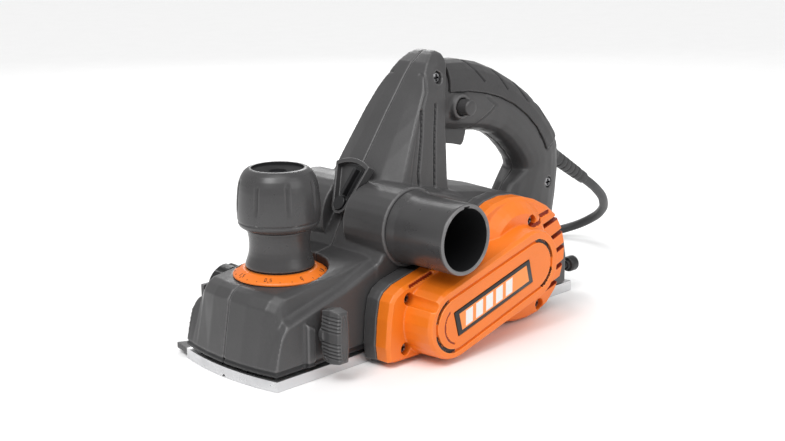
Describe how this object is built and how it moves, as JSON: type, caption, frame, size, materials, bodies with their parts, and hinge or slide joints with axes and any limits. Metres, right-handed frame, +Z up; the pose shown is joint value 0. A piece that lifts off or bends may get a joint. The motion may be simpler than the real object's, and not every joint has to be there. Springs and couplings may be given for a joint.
{
  "type": "portable electric planer",
  "caption": "Hand-held electric planer with a belt-driven cutter drum, depth knob, closed handle, side chip outlet and mains cord.",
  "frame": {"origin": "centre of the rear sole's flat bottom face", "axes": "+Z up; -X towards the front of the tool, the way it is pushed; -Y towards the belt cover, the tool's left"},
  "size_m": [0.4299, 0.2646, 0.188],
  "materials": {
    "charcoal": "satin moulded",
    "black": "satin moulded",
    "orange": "satin moulded",
    "steel": "machined",
    "sole": "planed bright",
    "rubber": "matt textured",
    "copper": "wound enamelled"
  },
  "bodies": {
    "planer_body": {"rear_sole": "sole", "left_housing": "charcoal", "right_housing": "charcoal", "belt_case": "charcoal", "chip_outlet": "charcoal", "chip_blank": "charcoal", "selector_frame": "charcoal", "label_plate": "black", "switch_body": "black", "belt_cover": "orange", "handle_grip": "rubber", "drive_belt": "rubber", "cord_gland": "rubber", "power_cord": "rubber", "cord_tail": "rubber", "cord_coil": "rubber", "power_plug": "rubber", "housing_screw_tower": "steel", "housing_screw_post": "steel", "housing_screw_body": "steel", "cover_screw_1": "steel", "cover_screw_2": "steel", "cover_screw_3": "steel", "cover_screw_4": "steel", "drum_bearing_left": "steel", "drum_bearing_right": "steel", "motor_stator": "steel", "motor_bearing_left": "steel", "motor_bearing_right": "steel", "depth_spring": "steel", "field_coil_left": "copper", "field_coil_right": "copper", "brush_holder_1": "copper", "brush_holder_2": "copper"},
    "depth_knob": {"depth_knob_neck": "charcoal", "depth_knob_cap": "charcoal", "depth_spindle": "steel", "depth_scale_ring": "orange"},
    "front_sole_slide": {"front_sole": "sole"},
    "rotor": {"armature": "steel", "commutator": "copper", "motor_fan": "black", "motor_pulley": "steel"},
    "cutter": {"cutter_drum": "sole", "cutter_blade_1": "steel", "cutter_blade_2": "steel", "blade_clamp_1": "steel", "blade_clamp_2": "steel", "drum_pulley": "steel"},
    "trigger_body": {"trigger": "charcoal"},
    "lock_off_body": {"lock_off_button": "charcoal"},
    "selector": {"selector_lever": "charcoal", "chip_deflector": "black"},
    "fence_clamp": {"fence_knob": "charcoal"},
    "rebate_guide": {"rebate_stop": "charcoal"},
    "rebate_clamp": {"rebate_knob": "black"},
    "rear_clamp": {"rear_knob": "black"}
  },
  "joints": [
    {"name": "depth_knob_turn", "type": "hinge", "parent": "planer_body", "child": "depth_knob", "pos_m": [-0.1686, 0, 0.1], "axis": [0, 0, 1], "range_deg": [0, 180]},
    {"name": "front_sole_lift", "type": "slide", "parent": "planer_body", "child": "front_sole_slide", "axis": [0, 0, 1], "range_m": [0, 0.002], "deforming": ["depth_spring"]},
    {"name": "cutter_spin", "type": "hinge", "parent": "planer_body", "child": "cutter", "pos_m": [-0.099, 0, 0.0255], "axis": [0, 1, 0], "continuous": true},
    {"name": "rotor_spin", "type": "hinge", "parent": "planer_body", "child": "rotor", "pos_m": [-0.019, 0, 0.048], "axis": [0, 1, 0], "continuous": true},
    {"name": "trigger_press", "type": "slide", "parent": "planer_body", "child": "trigger_body", "axis": [0, 0, 1], "range_m": [0, 0.005], "stiffness_N_per_m": 500},
    {"name": "lock_off_press", "type": "slide", "parent": "planer_body", "child": "lock_off_body", "axis": [0, 1, 0], "range_m": [0, 0.003], "stiffness_N_per_m": 400},
    {"name": "selector_turn", "type": "hinge", "parent": "planer_body", "child": "selector", "pos_m": [-0.1134, 0, 0.0932], "axis": [-0.8944, 0, 0.4472], "range_deg": [0, 30]},
    {"name": "fence_knob_turn", "type": "hinge", "parent": "planer_body", "child": "fence_clamp", "pos_m": [-0.173, -0.05, 0.0295], "axis": [0, -1, 0], "continuous": true},
    {"name": "rebate_stop_slide", "type": "slide", "parent": "planer_body", "child": "rebate_guide", "axis": [0, 0, 1], "range_m": [0, 0.012]},
    {"name": "rebate_knob_turn", "type": "hinge", "parent": "planer_body", "child": "rebate_clamp", "pos_m": [-0.166, 0.055, 0.036], "axis": [0, 1, 0], "continuous": true},
    {"name": "rear_knob_turn", "type": "hinge", "parent": "planer_body", "child": "rear_clamp", "pos_m": [0.083, -0.04, 0.0188], "axis": [1, 0, 0], "continuous": true}
  ],
  "couplings": [
    {"joint": "depth_knob_turn", "follows": "front_sole_lift", "rad_per_m": 1570.8},
    {"joint": "rotor_spin", "follows": "cutter_spin", "ratio": 1.45}
  ]
}
